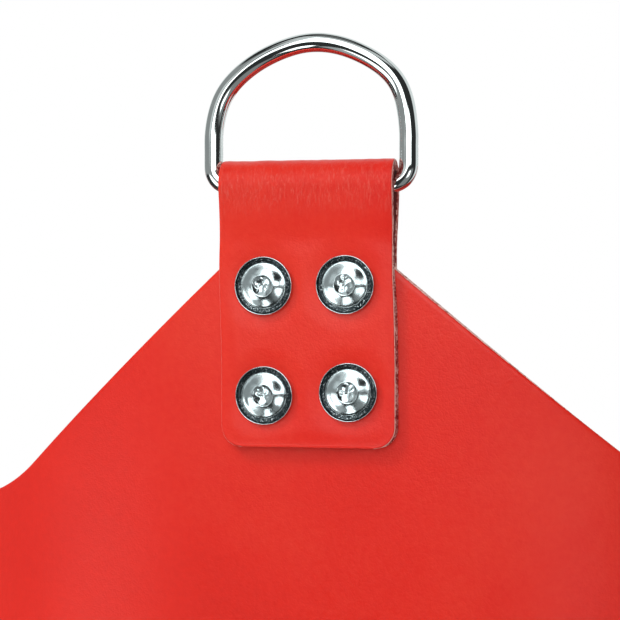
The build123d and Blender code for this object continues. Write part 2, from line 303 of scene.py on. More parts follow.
def leather(name, color, folded=False):
    """Smooth dyed leather: pores, fine wrinkles, faint creases and a colour that drifts a little.

    Where it is folded over a ring's bar, it is creased, and pale pink speckles there are partly cracked dye
    and partly a painted highlight.
    """
    made, shader, coords = material(name, color, 0.34, specular=0.36)
    drift = noise_node(coords, 14.0, 3.0, 0.5)
    mottle = noise_node(coords, 500.0, 4.0, 0.65)
    mixed = blended(drift, 0.7, mottle)
    stops = [(0.33, times(color, 0.92, 0.80, 0.80)), (0.50, color), (0.68, times(color, 1.05, 1.9, 1.9))]
    tint = tinted(shader, mixed, stops)
    pores = voronoi_node(coords, 1500.0)
    cells = voronoi_node(coords, 900.0, "DISTANCE_TO_EDGE")
    cells = math_node("MINIMUM", math_node("MULTIPLY", cells, 5.0), 1.0)
    wander = noise_node(coords, 900.0, 6.0, 0.62)
    creases = noise_node(coords, 110.0, 5.0, 0.6, 0.8, stretch=(1.0, 1.0, 0.55))
    rough = value_range(wander, 0.3, 0.7, 0.28, 0.42)
    fed(shader, {"Roughness": rough})
    heights = [(creases, 0.14, 0.0008), (cells, 0.10, 0.00012)]
    heights += [(wander, 0.15, 0.00020), (pores, 0.10, 0.00010)]
    if folded:
        split = new_node(coords, "ShaderNodeSeparateXYZ", {0: coords})
        starts, full, fades, ends = [(FOLD_TOP + above) * MM for above in (-17.9, -8.9, -5.9, 0.1)]
        rise = value_range(split.outputs["Z"], starts, full)
        fall = value_range(split.outputs["Z"], fades, ends, 1.0, 0.35)
        fold = math_node("MULTIPLY", rise, fall)
        pulled = noise_node(coords, 1500.0, 5.0, 0.7, 1.2, stretch=(1.0, 0.35, 0.22))
        heights.insert(1, (math_node("MULTIPLY", pulled, fold), 0.5, 0.0005))
        # Pale pink speckles in the band below the fold's top: partly cracked dye, and partly a painted
        # highlight where the fold faces the light.
        cracks_and_painted_highlight = math_node("MULTIPLY", value_range(pulled, 0.50, 0.80, 0.0, 0.6), fold)
        mix = new_node(coords, "ShaderNodeMix", {})
        mix.data_type = "RGBA"
        fed(mix, {"Factor": cracks_and_painted_highlight, 6: tint, 7: (0.86, 0.20, 0.15, 1.0)})
        fed(shader, {"Base Color": mix.outputs[2]})
    bumped(shader, heights)
    fed(shader, {"Sheen Weight": 0.03, "Sheen Roughness": 0.5})
    return made


def flesh_side(name, color):
    """The rough, hairy back of the leather."""
    made, shader, coords = material(name, color, 0.95, specular=0.15)
    fibres = noise_node(coords, 1300.0, 8.0, 0.75, 1.5, stretch=(1.0, 1.0, 0.5))
    patches = noise_node(coords, 60.0, 4.0, 0.6)
    mixed = blended(fibres, 0.6, patches)
    stops = [(0.32, times(color, 0.45)), (0.5, color), (0.68, times(color, 1.5, 2.6, 2.4))]
    tinted(shader, mixed, stops)
    bumped(shader, [(fibres, 0.7, 0.0005), (patches, 0.3, 0.001)])
    fed(shader, {"Sheen Weight": 0.35, "Sheen Roughness": 0.6})
    return made


def cut_edge(name, pale):
    """The fibrous edge of cut leather, with the dye soaked in; pale is the share that it missed."""
    made, shader, coords = material(name, (0.45, 0.12, 0.10), 0.9, specular=0.2)
    fibres = noise_node(coords, 1700.0, 4.0, 0.6, 0.6)
    soaked = noise_node(coords, 420.0, 4.0, 0.6)
    mixed = blended(fibres, 0.6, soaked)
    middle = 0.64 - 0.28 * pale
    stops = [(middle - 0.10, (0.19, 0.011, 0.014)), (middle - 0.03, (0.36, 0.030, 0.028))]
    stops += [(middle + 0.02, (0.62, 0.19, 0.16)), (middle + 0.06, (0.90, 0.60, 0.54))]
    tinted(shader, mixed, stops)
    bumped(shader, [(fibres, 0.8, 0.0003)])
    return made


def plated(name, color, roughness, pitting=0.06, scratches=0.04, flecks=None):
    """Bright plating with faint pits, polishing lines and dull patches, or with bright flecks."""
    made, shader, coords = material(name, color, roughness, metallic=1.0)
    pits = noise_node(coords, 2600.0, 5.0, 0.7)
    lines = noise_node(coords, 700.0, 3.0, 0.6, stretch=(1.0, 1.0, 0.12))
    dull = noise_node(coords, 180.0, 4.0, 0.6)
    rough = value_range(dull, 0.35, 0.7, roughness * 0.7, roughness * 1.9)
    fed(shader, {"Roughness": rough})
    if flecks:
        tinted(shader, pits, [(0.35, times(color, 0.6)), (0.56, color), (0.66, flecks)])
    else:
        tinted(shader, dull, [(0.35, times(color, 0.9, 0.92, 0.93)), (0.65, color)])
    bumped(shader, [(pits, pitting, 0.00008), (lines, scratches, 0.00008)])
    return made


def woven(name, color, threads, strength=0.5):
    """Cloth with a plain weave of so many threads to the metre."""
    made, shader, coords = material(name, color, 0.9, specular=0.2)
    split = new_node(coords, "ShaderNodeSeparateXYZ", {0: coords})
    around = math_node("ADD", split.outputs["X"], split.outputs["Y"])
    turns = threads * math.pi
    weft = math_node("SINE", math_node("MULTIPLY", around, turns))
    warp = math_node("SINE", math_node("MULTIPLY", split.outputs["Z"], turns))
    weave = math_node("MULTIPLY", weft, warp)
    flecks = noise_node(coords, 500.0, 5.0, 0.65)
    shade = math_node("ADD", math_node("MULTIPLY", weave, 0.12), flecks)
    tinted(shader, shade, [(0.3, times(color, 0.6)), (0.5, color), (0.75, times(color, 1.35))])
    bumped(shader, [(weave, strength, 0.0003), (flecks, 0.4, 0.0003)])
    fed(shader, {"Sheen Weight": 0.2})
    return made


def foamed(name, color):
    """Open-cell foam."""
    made, shader, coords = material(name, color, 0.95, specular=0.1)
    cells = voronoi_node(coords, 900.0)
    patches = noise_node(coords, 40.0)
    shade = blended(cells, 0.5, patches)
    tinted(shader, shade, [(0.2, times(color, 0.55)), (0.6, color)])
    bumped(shader, [(cells, 0.8, 0.0006)])
    return made


RED = (0.775, 0.017, 0.008)
wall_leather = leather("wall_leather", RED)
strap_leather = leather("strap_leather", (0.79, 0.016, 0.007), folded=True)
lid_leather = leather("lid_leather", (0.67, 0.016, 0.008))
suede = flesh_side("flesh_side", (0.34, 0.045, 0.038))
# A darker copy of the flesh side, for the inside of the strap where it folds round the bar: painted shade.
loop_suede_painted_shade = flesh_side("loop_flesh_side_painted_shade", (0.20, 0.016, 0.014))
arris = cut_edge("cut_arris", 0.95)
wall_arris = cut_edge("wall_cut_arris", 0.72)
edge = cut_edge("cut_edge", 0.5)
ring_chrome = plated("ring_chrome", (0.86, 0.88, 0.88), 0.05, 0.05, 0.03)
rivet_chrome = plated("rivet_chrome", (0.79, 0.87, 0.90), 0.12, 0.22, 0.05)
# The washer's trough is coloured near black: partly dirt, and partly painted shade of the deep groove
# between its lip and the rivet head.
trough_dirt_and_shade = plated("washer_trough_dirt_and_shade", (0.04, 0.052, 0.058), 0.2, 0.9, 0.1, flecks=(0.7, 0.75, 0.78))
burr_brass = plated("burr_brass", (0.78, 0.60, 0.32), 0.22, 0.3, 0.2)
zip_metal = plated("zip_metal", (0.66, 0.66, 0.67), 0.22, 0.2, 0.1)
zip_cloth = woven("zip_cloth", (0.02, 0.02, 0.022), 1600.0)
tape_cloth = woven("tape_cloth", (0.035, 0.035, 0.04), 1200.0)
canvas_cloth = woven("canvas_cloth", (0.52, 0.44, 0.31), 1100.0)
rag_cloth = woven("rag_cloth", (0.36, 0.33, 0.31), 700.0)
foam_cells = foamed("foam_cells", (0.30, 0.31, 0.33))
thread = woven("waxed_thread", (0.72, 0.66, 0.54), 2500.0, 0.4)


# ---- the bag's outer surface ----
def section(s, z, inset=0.0):
    """Across and out for a place s round the outside from a side's middle, at height z.

    Round below and a rounded square in the crown. s may be an array.
    """
    s, z = np.broadcast_arrays(np.asarray(s, float), np.asarray(z, float))
    turned = s / BAG_RADIUS
    round_t, round_n = (BAG_RADIUS - inset) * np.sin(turned), (BAG_RADIUS - inset) * np.cos(turned)
    past = np.clip(np.abs(s) - FLAT_HALF, 0, None) / CORNER_RADIUS
    flat = np.clip(s, -FLAT_HALF, FLAT_HALF)
    crown_t = flat + np.sign(s) * (CORNER_RADIUS - inset) * np.sin(past)
    crown_n = FLAT_HALF + (CORNER_RADIUS - inset) * np.cos(past)
    part = smoothstep(z, ROUND_TOP, CROWN_BOTTOM)
    return round_t + (crown_t - round_t) * part, round_n + (crown_n - round_n) * part


def filleted(points, radii, steps=24):
    """A line through these points with its inner corners rounded."""
    points = [np.array(p, float) for p in points]
    made = [points[0]]
    for before, corner, after, radius in zip(points, points[1:], points[2:], radii):
        back = (before - corner) / np.linalg.norm(before - corner)
        on = (after - corner) / np.linalg.norm(after - corner)
        half = math.acos(np.clip(back @ on, -1, 1)) / 2
        centre = corner + (back + on) / np.linalg.norm(back + on) * radius / math.sin(half)
        start, end = corner + back * radius / math.tan(half), corner + on * radius / math.tan(half)
        for step in np.linspace(0, 1, steps):
            arm = (start - centre) * (1 - step) + (end - centre) * step
            made.append(centre + arm / np.linalg.norm(arm) * radius)
    made.append(points[-1])
    return np.array(made)


LEFT_SLOPE, RIGHT_SLOPE = 0.945, 0.823
# how far the edge has fallen where it comes out from under the strap
LEFT_DROP, RIGHT_DROP = 6.7, 8.2
left_peak = -(STRAP_HALF - LEFT_DROP / LEFT_SLOPE)
right_peak = STRAP_HALF - RIGHT_DROP / RIGHT_SLOPE
crown_line = filleted(
    [
        (-160.0, VALLEY),
        (left_peak - (PEAK - VALLEY) / LEFT_SLOPE, VALLEY),
        (left_peak, PEAK),
        (right_peak, PEAK),
        (right_peak + (PEAK - VALLEY) / RIGHT_SLOPE, VALLEY),
        (160.0, VALLEY),
    ],
    [45.0, 4.0, 4.0, 45.0],
)


def crown_top(s):
    """Height of the wall's top edge at a place round a side."""
    across, _ = section(s, PEAK)
    return np.interp(across, crown_line[:, 0], crown_line[:, 1])


# ---- wall panels ----
# (inset, depth) of the steps round the edge of a sheet of leather
SHEET_RIM = [(0.30, 0.04), (0.10, 0.16), (0.0, 0.45), (0.0, 1.5), (0.0, 2.6), (0.12, 2.9)]
WALL_HALF = QUARTER / 2 - SEAM_GAP / 2
# heights of the stitching round the foot and the lid, and its distance from a seam
BASE_ROW, LID_ROWS, SEAM_ROW = 12.0, (978.0, 990.0), 4.5
CROWN_ROWS_START = 986.0
KNIFE_SLANT = 0.34


def leather_slots(kind, cut=True):
    """Material numbers: 0 dyed face, 1 pale arris, 2 cut edge, 3 flesh side. Only cut edges show."""
    slots = np.select([kind == -1, kind <= 2, kind == 3], [3, 0, 1], 2)
    return np.where((kind >= 3) & np.logical_not(cut), 0, slots)


def wall_surface(side, s, z, depth):
    """Points this deep under the outer face of a panel, at s round it and z up it."""
    s, z, depth = np.broadcast_arrays(np.asarray(s, float), np.asarray(z, float), depth)
    t, n = section(s, z)
    out = turn(side, t, n, z)
    t_in, n_in = section(s, z, 1.0)
    inward = turn(side, t_in, n_in, z) - out
    to_seam = WALL_HALF - np.abs(s)
    held = np.maximum(smoothstep(z, 975, 1040), smoothstep(-np.abs(s), -70, -20) * smoothstep(z, 985, 1030))
    swell = 1.5 * soft_noise(out * [1, 1, 0.8], 130.0, 3) + 0.55 * soft_noise(out, 45.0, 5)
    swell = swell * (1 - 0.93 * held) * smoothstep(z, 0, 60) * smoothstep(to_seam, 0, 22)
    rolled = 2.2 * np.exp(-to_seam / 0.8) + 0.35 * np.exp(-to_seam / 4.0)
    pucker = 0.22 * np.sin(z * 2 * math.pi / 5.0) * bell(to_seam, SEAM_ROW, 3.0)
    pucker = pucker + 0.35 * soft_noise(out * [1, 1, 1.6], 18.0, 8) * np.exp(-to_seam / 12.0)
    tucked = 0.9 * np.exp(-z / 3.0)
    sewn = sum(0.35 * bell(z, row, 1.3) for row in (BASE_ROW, *LID_ROWS))
    under_strap = smoothstep(-np.abs(s), -32, -26) * smoothstep(z, 1040, 1050)
    move = (swell - pucker * (1 - held)) * (1 - under_strap) - rolled - tucked - sewn
    return out + inward * (depth - move)[..., None]


def wall_panel(side):
    """One quarter of the wall, with its seam edges turned in and its top edge cut."""
    near_seam = np.array([0, 0.35, 0.8, 1.4, 2.2, 3.4, 5.0, 7.0, 9.5, 12.5])
    middle = np.linspace(-WALL_HALF + 15, WALL_HALF - 15, 101)
    s = np.concatenate([near_seam - WALL_HALF, middle, WALL_HALF - near_seam[::-1]])
    top = crown_top(s)
    low = np.concatenate([[0.6, 1.6, 3.0, 5.0, 8.0, 10.5, 12, 13.5], np.arange(18, 972, 9.0)])
    low = np.concatenate([low, [974, 976.5, 978, 979.5, 982]])
    share = np.concatenate([[0.0, 0.03, 0.06], np.linspace(0.09, 0.985, 38), [1.0]])
    lean = np.sqrt(1 + np.gradient(top, s) ** 2)
    # the right shoulder was cut with the knife leaning, so that its pale edge shows from the front
    slant = KNIFE_SLANT * lean * smoothstep(s, 20, 28)
    to_top = top - slant - 0.45 - CROWN_ROWS_START
    z = np.concatenate([np.repeat(low[:, None], len(s), 1), CROWN_ROWS_START + share[:, None] * to_top])
    s_grid = np.repeat(s[None, :], len(z), 0)
    ring = grid_boundary(*z.shape)
    is_top, is_bottom = ring[0] == len(z) - 1, ring[0] == 0
    rims = []
    for inset, depth in SHEET_RIM:
        z_ring = z[ring]
        z_ring[is_top] = (top - inset * lean - slant * (1 - depth / LEATHER))[ring[1][is_top]]
        z_ring[is_bottom] = inset
        rims.append(wall_surface(side, s_grid[ring], z_ring, depth))
    outer, inner = wall_surface(side, s_grid, z, 0.0), wall_surface(side, s_grid, z, LEATHER)
    verts, faces, kind, edge_side = thick_sheet(outer, rims, inner)
    slots = leather_slots(kind, (edge_side == 2) | (edge_side == 0))
    name = f"wall_leather_{SIDES[side]}"
    piece = new_piece(name, verts, faces, [wall_leather, wall_arris, wall_arris, suede], slots)
    return stand_in(piece, "bag", "wall_leather", f"wall_panel_{SIDES[side]}")


# ---- hanger straps ----
def strap_path():
    """Middle of the strap's thickness, from its front end over the fold to its back end.

    Out from the wall's middle, and up.
    """
    half_gap, bend = LEATHER, FOLD_TOP - BAR_HEIGHT - LEATHER / 2
    below = BAR_HEIGHT - PEAK
    reach = math.hypot(half_gap, below)
    lean = math.acos(bend / reach) - math.atan2(below, half_gap)
    front = [(half_gap, z) for z in np.linspace(STRAP_FOOT, PEAK, 60)[:-1]]
    start = (bend * math.cos(lean), BAR_HEIGHT + bend * math.sin(lean))
    shares = np.linspace(0, 1, 16)[:-1]
    front += [(half_gap + (start[0] - half_gap) * w, PEAK + (start[1] - PEAK) * w) for w in shares]
    turned = np.linspace(lean, math.pi - lean, 49)
    arc = [(bend * math.cos(a), BAR_HEIGHT + bend * math.sin(a)) for a in turned]
    path = np.array(front + arc + [(-n, z) for n, z in front[::-1]])
    for _ in range(3):
        inside = np.abs(path[1:-1, 1] - PEAK) < 6
        moved = (path[:-2] + path[1:-1] + path[2:]) / 3
        path[1:-1][inside] = moved[inside]
    return path


def strap(side):
    """The folded strap, pressed down round its rivets, with cut edges and a hairy inside."""
    path = strap_path()
    along = np.concatenate([[0], np.cumsum(np.linalg.norm(np.diff(path, axis=0), axis=1))])
    length = along[-1]
    foot_rows = np.array([0.0, 0.5, 1.0, 1.6, 2.4, 3.3, 4.4, 5.6, 7.0, 8.5])
    rows = np.concatenate([foot_rows, np.linspace(10, length - 10, 190), length - foot_rows[::-1]])
    cross = np.concatenate([[-1.0], np.linspace(-0.972, 0.972, 61), [1.0]])
    step = np.gradient(path, along, axis=0)
    corner = 6.0

    def points(d, u, inset, depth):
        """d along the strap and u across it, with the outline drawn in by inset."""
        from_end = np.clip(np.minimum(d, length - d), 0, corner)
        from_end = np.maximum(from_end, inset)
        room = (corner - inset) ** 2 - (corner - from_end) ** 2
        half = STRAP_HALF - corner + np.sqrt(np.clip(room, 0, None))
        half = np.where(from_end >= corner, STRAP_HALF - inset, half)
        d = np.clip(d, inset, length - inset)
        n, z = np.interp(d, along, path[:, 0]), np.interp(d, along, path[:, 1])
        dn, dz = np.interp(d, along, step[:, 0]), np.interp(d, along, step[:, 1])
        size = np.hypot(dn, dz)
        out_n, out_z = dz / size, -dn / size
        t = u * half
        near = np.full(np.shape(t), 1e9)
        for rivet_t, rivet_z in RIVETS:
            near = np.minimum(near, np.hypot(t - rivet_t, z - rivet_z))
        layer = 1 - smoothstep(z, PEAK - 4, PEAK + 14)
        puffed = 0.30 * smoothstep(near, WASHER_RADIUS - 0.2, WASHER_RADIUS + 5.5)
        puffed = puffed - 0.10 * bell(near, WASHER_RADIUS, 0.7)
        puffed = np.where(near < WASHER_RADIUS - 0.3, -0.05, puffed) * layer
        edge_fall = smoothstep(half - np.abs(t), 0.0, 4.0) * smoothstep(np.minimum(d, length - d), 0, 5)
        seed = 31 + side
        where = np.stack([t, d, np.full_like(t, seed)], -1)
        waves = 0.16 * soft_noise(where, 22.0, seed)
        # short creases where the leather is bent over the ring
        bend = bell(d, length / 2, 13.0)
        creases = 0.16 * soft_noise(where * [1.0, 0.45, 1.0], 2.6, seed) * bend
        creases = creases + 0.12 * soft_noise(where * [0.25, 1.0, 1.0], 3.4, seed + 4) * bend
        lift = (puffed + waves * (0.4 + 0.6 * layer)) * edge_fall + creases
        lift = lift * (depth < LEATHER * 0.7)
        # its ends stand off the wall a little
        lift = lift + 0.55 * np.exp(-np.minimum(d, length - d) / 3.5)
        # the edges of the strap wander a little, as hand-cut ones do
        wander = 0.22 * soft_noise(np.stack([d, np.sign(u) * 50.0, d * 0], -1), 26.0, seed)
        wander = wander * smoothstep(np.abs(u), 0.6, 1.0)
        # one edge was cut with the knife leaning out
        wander = wander + 0.22 * depth * smoothstep(u, 0.98, 1.0) * (1 - smoothstep(z, 1088, 1112))
        # its fold sits a little to one side of its foot
        wander = wander - 0.3 * smoothstep(z, 1072, 1100) - 0.4 * bell(z, 1104, 10.0)
        distance = LEATHER / 2 - depth + lift
        return turn(side, t + wander, WALL_MIDDLE + n + out_n * distance, z + out_z * distance)

    d, u = np.meshgrid(rows, cross, indexing="ij")
    outer = points(d, u, 0.5, 0.0)
    ring = grid_boundary(*d.shape)
    rims = [points(d[ring], u[ring], inset, depth) for inset, depth in SHEET_RIM]
    inner = points(d, u, 0.3, LEATHER)
    verts, faces, kind, edge_side = thick_sheet(outer, rims, inner)
    slots = leather_slots(kind)
    # the edges at the ends, which face down, are coloured like the dyed face instead of the pale arris:
    # painted shade
    slots = np.where((slots == 1) & np.isin(edge_side, (0, 2)), 0, slots)
    name = f"strap_leather_{SIDES[side]}"
    # its inside takes the darker flesh side, which is painted shade in the fold's hollow
    piece = new_piece(name, verts, faces, [strap_leather, arris, edge, loop_suede_painted_shade], slots)
    return stand_in(piece, "bag", "strap_leather", f"hanger_strap_{SIDES[side]}")


# ---- D-rings ----
def ring_path():
    """Middle of the ring's wire, across and up, all the way round."""
    corner = 5.0
    bow = ring_high[2] - WIRE - RING_HALF
    arc = []
    for a in np.linspace(0, math.pi, 145):
        # bent by a machine that leaves one shoulder fuller than the other
        degrees = math.degrees(a)
        radius = RING_HALF + 1.15 * bell(degrees, 36, 19)
        radius += 0.8 * bell(degrees, 151, 15)
        radius -= 0.5 * bell(degrees, 112, 18)
        arc.append((radius * math.cos(a), bow + radius * math.sin(a)))
    quarter = np.linspace(0, math.pi / 2, 15)
    bend = [(corner * (1 - math.cos(a)), corner * (1 - math.sin(a))) for a in quarter]
    left = [(t - RING_HALF, z + BAR_HEIGHT) for t, z in bend]
    side = [(-RING_HALF, z) for z in np.linspace(bow, BAR_HEIGHT + corner, 10)[1:-1]]
    bar = [(t, BAR_HEIGHT) for t in np.linspace(-RING_HALF + corner, RING_HALF - corner, 24)[1:-1]]
    right = [(-t, z) for t, z in left[::-1]]
    path = np.array(arc + side + left + bar + right + [(-t, z) for t, z in side[::-1]])
    # its bow stands a little to one side of its bar
    path[:, 0] += 0.5 * smoothstep(path[:, 1], BAR_HEIGHT + 14, BAR_HEIGHT + 30)
    for _ in range(2):
        path = (np.roll(path, 1, 0) + 2 * path + np.roll(path, -1, 0)) / 4
    return path


def d_ring(side):
    """Round wire, bent and welded shut in the middle of its bar."""
    path = ring_path()
    ahead = np.roll(path, -1, 0) - np.roll(path, 1, 0)
    ahead /= np.linalg.norm(ahead, axis=1)[:, None]
    across = np.stack([ahead[:, 1], -ahead[:, 0]], -1)
    angles = np.linspace(0, 2 * math.pi, 41)[:-1]
    on_bar = np.abs(path[:, 1] - BAR_HEIGHT) < 0.01
    weld = 0.16 * bell(path[:, 0], 0, 1.2) * on_bar
    loops = []
    for (t, z), (at, az), extra in zip(path, across, weld):
        radius = WIRE + extra
        level, out = radius * np.cos(angles), radius * np.sin(angles)
        loops.append(turn(side, t + at * level, WALL_MIDDLE + out, z + az * level))
    verts, faces = swept(loops)
    name = f"chrome_ring_{SIDES[side]}"
    piece = new_piece(name, verts, faces, [ring_chrome])
    return stand_in(piece, f"d_ring_{SIDES[side]}", "ring_chrome", f"d_ring_{SIDES[side]}")


# ---- rivets ----
# (radius, height) above the strap, from the washer's underside over its lip into its trough
WASHER_PROFILE = [
    (2.5, 0.02), (7.9, 0.02), (8.15, 0.10), (8.28, 0.35), (8.30, 0.8), (8.30, 1.22), (8.27, 1.38),
    (8.21, 1.47), (8.13, 1.50), (8.05, 1.47), (8.00, 1.38), (7.96, 1.20), (7.88, 0.95), (7.65, 0.72),
    (7.30, 0.58), (6.9, 0.52), (6.2, 0.50), (2.5, 0.50),
]
TROUGH_START = 12
# from the clinched end up the shank, round the head's edge and over its dome to the middle
HEAD_PROFILE = [
    (0.0, -12.5), (2.2, -12.5), (2.9, -12.3), (3.3, -11.9), (3.45, -11.4), (3.3, -10.9), (2.4, -10.8),
    (2.4, 0.5), (6.15, 0.52), (6.42, 0.56), (6.53, 0.75), (6.55, 1.0), (6.52, 1.17), (6.46, 1.26),
    (6.36, 1.29), (6.24, 1.27), (6.10, 1.29), (5.85, 1.37), (5.4, 1.55), (4.9, 1.80), (4.4, 2.02),
    (3.9, 2.21), (3.5, 2.35), (3.25, 2.43), (3.08, 2.46), (2.94, 2.43), (2.82, 2.34), (2.6, 2.18),
    (2.3, 2.02), (1.9, 1.85), (1.5, 1.70), (1.1, 1.57), (0.8, 1.48), (0.5, 1.36), (0.28, 1.22),
    (0.0, 1.16),
]
LATHE_STEPS = 84


def lathe(profile, side, t, z, base, shape=None):
    """A profile of (radius, height) turned about an axis that points out of a side."""
    radii, heights = np.array(profile).T
    angles = np.linspace(0, 2 * math.pi, LATHE_STEPS, endpoint=False)
    loops = []
    for radius, height in zip(radii, heights):
        lift = shape(radius, height, angles) if shape else 0.0
        across, up = radius * np.cos(angles), radius * np.sin(angles)
        loops.append(turn(side, t + across, base + height + lift, z + up))
    return swept(loops, closed_path=False)


def dented(seed):
    """The crushed metal in the middle of a rivet's head, and the faint waves round it."""

    def shape(radius, height, angles):
        if height < 1.0 or radius > 5.9:
            return np.zeros_like(angles)
        across, up = radius * np.cos(angles), radius * np.sin(angles)
        place = np.stack([across, up, np.full_like(angles, seed)], -1)
        if radius < 2.9:
            crushed = 0.55 * np.abs(soft_noise(place, 1.8, seed)) - 0.14
            crushed = crushed + 0.10 * np.abs(soft_noise(place, 0.7, seed + 2))
            return crushed * math.sin(min((2.9 - radius) / 1.2, 1.0) * math.pi / 2)
        fade = math.sin((radius - 2.9) / 3.0 * math.pi)
        return 0.10 * fade * soft_noise(place, 2.6, seed + 5)

    return shape


def rivets(side):
    """Four dished washers with rolled rims, and the rivet heads that stand in them."""
    washers, heads = [], []
    for number, (t, z) in enumerate(RIVETS):
        washers.append(lathe(WASHER_PROFILE + WASHER_PROFILE[:1], side, t, z, FRONT_FACE))
        heads.append(lathe(HEAD_PROFILE, side, t, z, FRONT_FACE, shape=dented(11.0 + 4 * side + number)))
    name = SIDES[side]
    verts, faces = joined(washers)
    rows = np.arange(len(faces)) // LATHE_STEPS % len(WASHER_PROFILE)
    # the trough rows take the near-black material, which is partly dirt and partly painted shade
    slots = np.where(rows >= TROUGH_START, 1, 0)
    piece = new_piece(f"washer_chrome_{name}", verts, faces, [rivet_chrome, trough_dirt_and_shade], slots)
    stand_in(piece, "bag", "rivet_chrome", f"cup_washers_{name}")
    verts, faces = joined(heads)
    piece = new_piece(f"rivet_heads_{name}", verts, faces, [rivet_chrome])
    stand_in(piece, "bag", "rivet_chrome", f"rivets_{name}")


# ---- lid, base, filling ----
def around(z, inset, scale=1.0):
    """Points all the way round the bag at height z, this far inside its outer face."""
    s = np.linspace(-QUARTER / 2, QUARTER / 2, 44, endpoint=False)
    t, n = section(s, np.full_like(s, z), inset)
    loop = np.concatenate([turn(side, t, n, np.full_like(s, z)) for side in range(4)])
    return loop * [scale, scale, 1.0]


def turned_piece(name, profile, materials, lumps=0.0, size=40.0, slots=None, solid=True):
    """A profile of (inset, height) or (inset, height, scale) taken all the way round the bag.

    A solid's profile starts and ends in its middle. Any other profile is closed.
    """
    loops = np.array([around(z, inset, *scale) for inset, z, *scale in profile])
    if lumps:
        flat = np.hypot(loops[..., 0], loops[..., 1])[..., None]
        outward = loops * [1, 1, 0] / np.maximum(flat, 1.0)
        loops = loops - outward * lumps * (0.5 + 0.5 * soft_noise(loops, size, 4))[..., None]
    verts, faces = swept(loops, closed_path=not solid, caps=solid)
    if slots is not None and solid:
        slots = np.concatenate([np.repeat(slots[:-1], loops.shape[1]), [slots[0], slots[-1]]])
    elif slots is not None:
        slots = np.repeat(slots, loops.shape[1])
    return new_piece(name, verts, faces, materials, slots)


def spread(low, high, step):
    """Heights from low to high, about a step apart."""
    return np.linspace(low, high, round((high - low) / step) + 1)


def disc(inset, z, low, high):
    """The part of a profile that crosses the bag at one height, between two scales."""
    return [(inset, z, scale) for scale in np.linspace(low, high, 14)]


def base():
    """Leather base with a turned-up rim, sewn inside the foot of the wall."""
    inner = disc(6.3, 3.0, 0.008, 0.94)
    rim_in = [(6.9, 3.05), (6.3, 3.4), (6.03, 4.2), (6, 8), (6, 16), (6, 24), (6, 28.8)]
    lip = [(5.8, 29.6), (5.3, 30), (3.9, 30), (3.3, 29.7), (3.1, 29)]
    rim_out = [(3.1, 24), (3.1, 16), (3.1, 8), (3.1, 3.5), (3.5, 1.6), (4.4, 0.5), (6.2, 0.05)]
    below = disc(6.2, 0.0, 0.94, 0.008)
    profile = inner + rim_in + lip + rim_out + below
    slots = np.zeros(len(profile), int)
    slots[: len(inner) + len(rim_in)] = 2
    slots[len(inner) + len(rim_in):len(inner) + len(rim_in) + len(lip)] = 1
    piece = turned_piece("base_leather", profile, [lid_leather, edge, suede], slots=slots)
    stand_in(piece, "bag", "lid_leather", "base_tray")
    profile = disc(7, 3.2, 0.01, 0.97) + [(7.5, 4.0), (6.9, 6.5), (6.6, 13)]
    profile += [(6.9, 19.5), (7.8, 22.0), (10, 22.8)] + disc(10, 23.0, 0.97, 0.01)
    piece = turned_piece("base_foam", profile, [foam_cells], 0.5)
    stand_in(piece, "bag", "foam", "base_pad")


def filling():
    """Foam lining, canvas sack and the rags that weigh the bag down."""
    heights = spread(33, 969.5, 26)
    outer = [(5.2, z) for z in heights]
    profile = [(6.2, 31)] + outer + [(6.2, 971.5), (9.5, 972), (13.4, 971.5)]
    profile += [(14.3, z) for z in heights[::-1]] + [(13.4, 31), (9.5, 30.6)]
    piece = turned_piece("foam_lining", profile, [foam_cells], 0.4, solid=False)
    stand_in(piece, "bag", "foam", "foam_sleeve")
    heights = spread(34, 974, 26)
    outer = disc(15.0, 23.4, 0.01, 0.96) + [(16.5, 25.5)]
    outer += [(15.0, z) for z in heights] + [(17, 985)]
    outer += disc(15.0, 987.8, 0.96, 0.01)
    inner = disc(15.8, 987.1, 0.01, 0.955) + [(17.8, 984.3)]
    inner += [(15.8, z) for z in heights[::-1]] + [(17.3, 26.3)]
    inner += disc(15.8, 24.2, 0.955, 0.01)
    piece = turned_piece("filling_sack", outer + inner, [canvas_cloth], solid=False)
    stand_in(piece, "bag", "canvas", "canvas_sack")
    profile = disc(18, 25.2, 0.01, 0.96) + [(17.5, 32)]
    profile += [(16.2, z) for z in spread(40, 970, 26)] + [(17.5, 979)]
    profile += disc(18, 984.5, 0.96, 0.01)
    piece = turned_piece("rag_packing", profile, [rag_cloth], 3.0, 60.0)
    stand_in(piece, "bag", "rags", "rag_filling")


def lid_band():
    """The turned-up strip that joins the lid to the wall."""
    side = spread(978, 1000.5, 3)
    profile = [(3.1, z) for z in side] + [(3.2, 1002.1), (3.6, 1002.9), (5.3, 1003), (5.8, 1002.4)]
    profile += [(5.95, z) for z in side[::-1]] + [(5.8, 975.7), (5.3, 975.1), (3.6, 975.1), (3.2, 975.7)]
    slots = np.zeros(len(profile), int)
    slots[len(side) + 1:len(side) + 4] = 1
    slots[len(side) + 4:] = 2
    slots[2 * len(side) + 4:] = 1
    piece = turned_piece("lid_band_leather", profile, [lid_leather, edge, suede], slots=slots, solid=False)
    stand_in(piece, "bag", "lid_leather", "lid_band")


# half the length of the zip's slot in the lid, and half its width
SLOT_HALF, SLOT_NEAR = 140.0, 6.0
LID_INSET = 6.2


